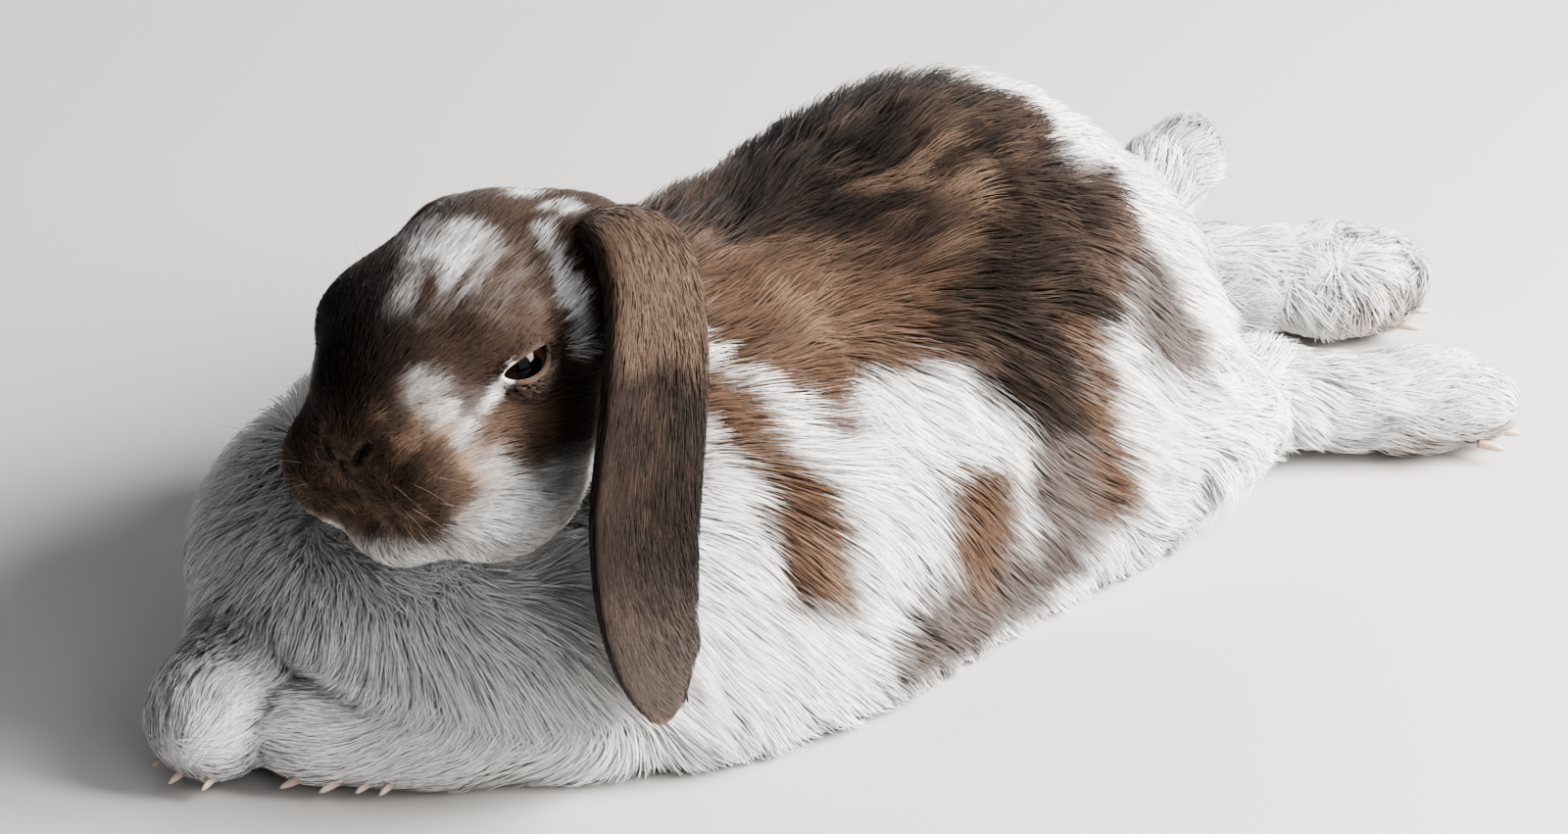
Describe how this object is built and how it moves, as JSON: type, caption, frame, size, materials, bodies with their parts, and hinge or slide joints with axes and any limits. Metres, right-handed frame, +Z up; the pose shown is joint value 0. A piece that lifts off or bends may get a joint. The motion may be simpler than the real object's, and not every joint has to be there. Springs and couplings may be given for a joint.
{
  "type": "lop rabbit",
  "caption": "Life-size mini lop rabbit, a still model lying stretched on its belly with its head up and turned to its left, ears hanging, forepaws in front, hind feet behind.",
  "frame": {"origin": "bottom centre of the bounding box, on the floor under the belly", "axes": "+Y from the forepaws to the hind feet, +X to the rabbit's left, +Z up"},
  "size_m": [0.191, 0.4424, 0.1449],
  "materials": {
    "fur_brown": "soft brown fur, mottled dark brown and tan with white patches",
    "fur_sooty": "short smooth sooty brown fur",
    "fur_white": "soft white fur",
    "eye": "wet, almost black brown",
    "claw": "pale pinkish horn"
  },
  "bodies": {
    "root": {"claw_forepaw_left_1": "claw", "claw_forepaw_left_2": "claw", "claw_forepaw_left_3": "claw", "claw_forepaw_left_4": "claw", "claw_forepaw_right_1": "claw", "claw_forepaw_right_2": "claw", "claw_forepaw_right_3": "claw", "claw_forepaw_right_4": "claw", "claw_hindfoot_left_1": "claw", "claw_hindfoot_left_2": "claw", "claw_hindfoot_left_3": "claw", "claw_hindfoot_left_4": "claw", "claw_hindfoot_right_1": "claw", "claw_hindfoot_right_2": "claw", "claw_hindfoot_right_3": "claw", "claw_hindfoot_right_4": "claw", "ear_left": "fur_sooty", "ear_right": "fur_sooty", "eye_left": "eye", "eye_right": "eye", "foreleg_left": "fur_white", "foreleg_right": "fur_white", "forepaw_left": "fur_white", "forepaw_right": "fur_white", "head": "fur_brown", "hindfoot_left": "fur_white", "hindfoot_right": "fur_white", "hindleg_left": "fur_white", "hindleg_right": "fur_white", "neck": "fur_brown", "tail": "fur_white", "trunk": "fur_brown"}
  },
  "joints": []
}
